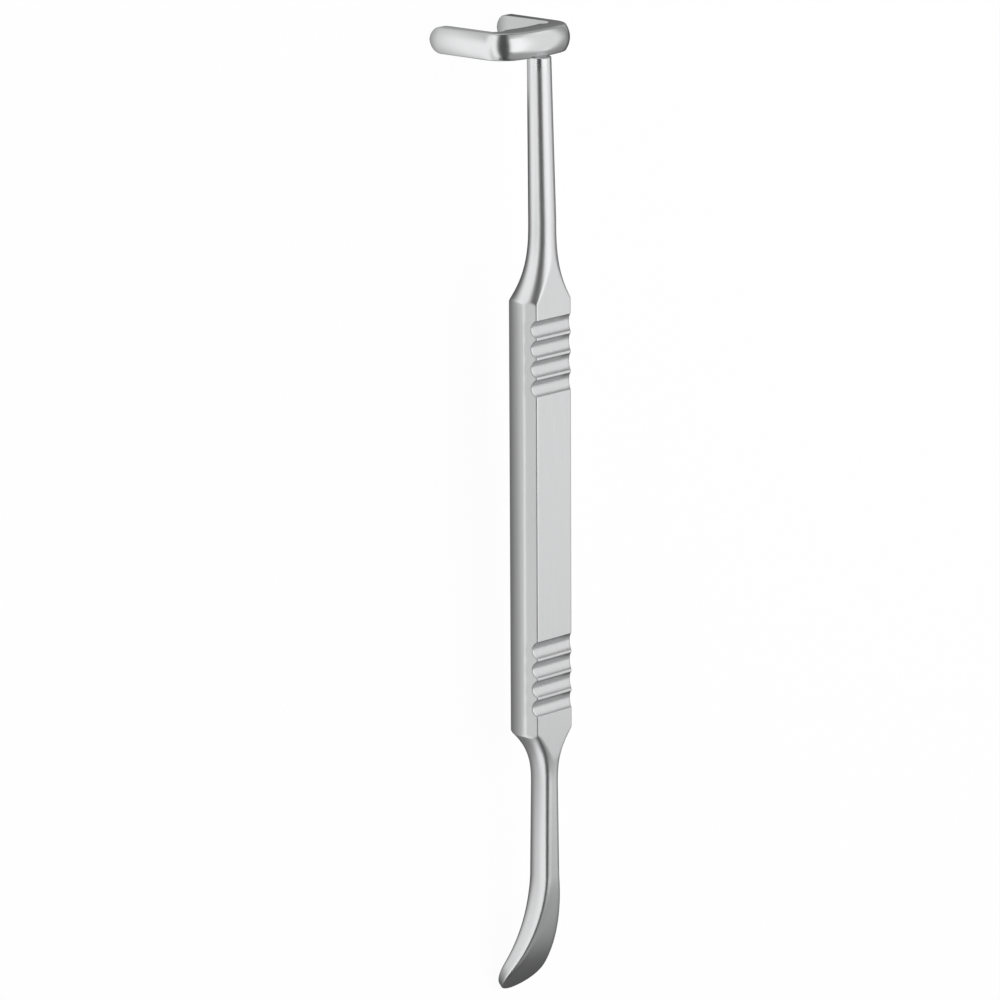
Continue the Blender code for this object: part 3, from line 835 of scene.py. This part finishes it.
# Where the painted light and shade change, in metres on the floor, with the shares at both ends
HANDLE_UPPER_END, HANDLE_LOWER_END = (0.045, 0.060, 1.0, 0.0), (-0.092, -0.050, 0.0, 1.0)
PAST_HEAD, NEAR_AXIS = (0.109, 0.127, 0.0, 1.0), (-0.070, -0.035, 0.0, 1.0)
UNDER_HEAD, BETWEEN_ARMS = (0.089, 0.097, 0.0, 1.0), (0.007, 0.012, 1.0, 0.0)
PAST_HEAD_PAINTED_TONE, UNDER_HEAD_PAINTED_LIGHT = 0.6, 0.7
PAPER_GLOW, GLOW_SHARE, PAPER_WHITE = 1.04, 0.92, (0.8, 0.8, 0.8, 1.0)

paper_bench = Bench(paper.node_tree)
seen = paper_bench.add("ShaderNodeLightPath", output="Is Camera Ray")
mirrored = paper_bench.add("ShaderNodeLightPath", output="Is Glossy Ray")
through = paper_bench.add("ShaderNodeLightPath", output="Is Transmission Ray")
floor_place = paper_bench.add("ShaderNodeTexCoord", output=3)
across = paper_bench.coordinate(floor_place, 0)
along_floor = paper_bench.coordinate(floor_place, 1)
shank_painted_shade = paper_bench.change(across, *SHANK_PAINTED_SHADE)
handle_painted_shade = paper_bench.change(across, *HANDLE_PAINTED_SHADE)
upper_end = paper_bench.change(along_floor, *HANDLE_UPPER_END)
at_handle = upper_end * paper_bench.change(along_floor, *HANDLE_LOWER_END)
past_head = paper_bench.change(along_floor, *PAST_HEAD) * paper_bench.change(across, *NEAR_AXIS)
aside = paper_bench.calculate("ABSOLUTE", across)
under_head = paper_bench.change(along_floor, *UNDER_HEAD) * paper_bench.change(aside, *BETWEEN_ARMS)
# The mirrored tone is painted light and shade: light at the far left, dark along and right of the
# instrument, and set to fixed tones past the head and between the arms
painted_light_and_shade = shank_painted_shade * (1.0 - at_handle) + handle_painted_shade * at_handle
painted_light_and_shade = painted_light_and_shade * (1.0 - past_head) + PAST_HEAD_PAINTED_TONE * past_head
painted_light_and_shade = painted_light_and_shade * (1.0 - under_head) + UNDER_HEAD_PAINTED_LIGHT * under_head
# Camera and transmission rays see plain white, and glossy rays see the painted light and shade
level = seen + through + mirrored * painted_light_and_shade
glow = paper_bench.add("ShaderNodeEmission", {}, {"Color": level, "Strength": PAPER_GLOW})
matt = paper_bench.add("ShaderNodeBsdfDiffuse", {}, {"Color": PAPER_WHITE})
share = GLOW_SHARE * (seen + mirrored + through)
mixed = paper_bench.add("ShaderNodeMixShader", {}, {0: share, 1: matt, 2: glow})
paper_bench.add("ShaderNodeOutputMaterial", {}, {"Surface": mixed})
print("floor finish:", len(paper.node_tree.nodes), "nodes")

# %% World
# The camera sees white, and the steel a dark room
DARK_ROOM = 0.05
world = bpy.data.worlds.new("studio")
world.use_nodes = True
world.node_tree.nodes.clear()
world_bench = Bench(world.node_tree)
sky_seen = world_bench.add("ShaderNodeLightPath", output="Is Camera Ray")
sky_level = DARK_ROOM + (1.0 - DARK_ROOM) * sky_seen
sky = world_bench.add("ShaderNodeBackground", {}, {"Color": sky_level, "Strength": 1.0})
world_bench.add("ShaderNodeOutputWorld", {}, {"Surface": sky})
bpy.context.scene.world = world
print("world ready")


# %% Lamps
# Name, turn in degrees from straight above towards the left, shift towards the head,
# distance, width and length in metres, and brightness
PANELS = (
    ("overhead", -3.0, 0.0985, 0.5, 0.51, 0.643, 1.12),
    ("overhead_right", -46.0, 0.0985, 0.5, 0.287, 0.643, 0.80),
    ("foot", -19.0, -0.713, 0.5, 0.93, 0.98, 0.30),
    ("head_side", -19.0, 0.81, 0.5, 0.93, 0.78, 0.45),
    ("low_left", 78.8, 0.0, 1.2, 0.42, 4.2, 1.1),
    ("low_right", -74.0, 0.0, 1.3, 0.75, 3.0, 0.3),
)


def soft_light(name, turn, shift, distance, width, length, brightness):
    """A soft panel along the instrument, turned about its length and shifted towards the head."""
    lamp = bpy.data.lights.new(name, "AREA")
    lamp.shape, lamp.size, lamp.size_y = "RECTANGLE", width, length
    lamp.energy = brightness * math.pi * width * length
    thing = bpy.data.objects.new(name, lamp)
    around = Matrix.Rotation(math.radians(-turn), 4, "Y")
    thing.matrix_world = around @ Matrix.Translation((0.0, shift, distance))
    thing.visible_camera = False
    bpy.context.scene.collection.objects.link(thing)


for panel in PANELS:
    soft_light(*panel)
print("lamps:", len(bpy.data.lights))
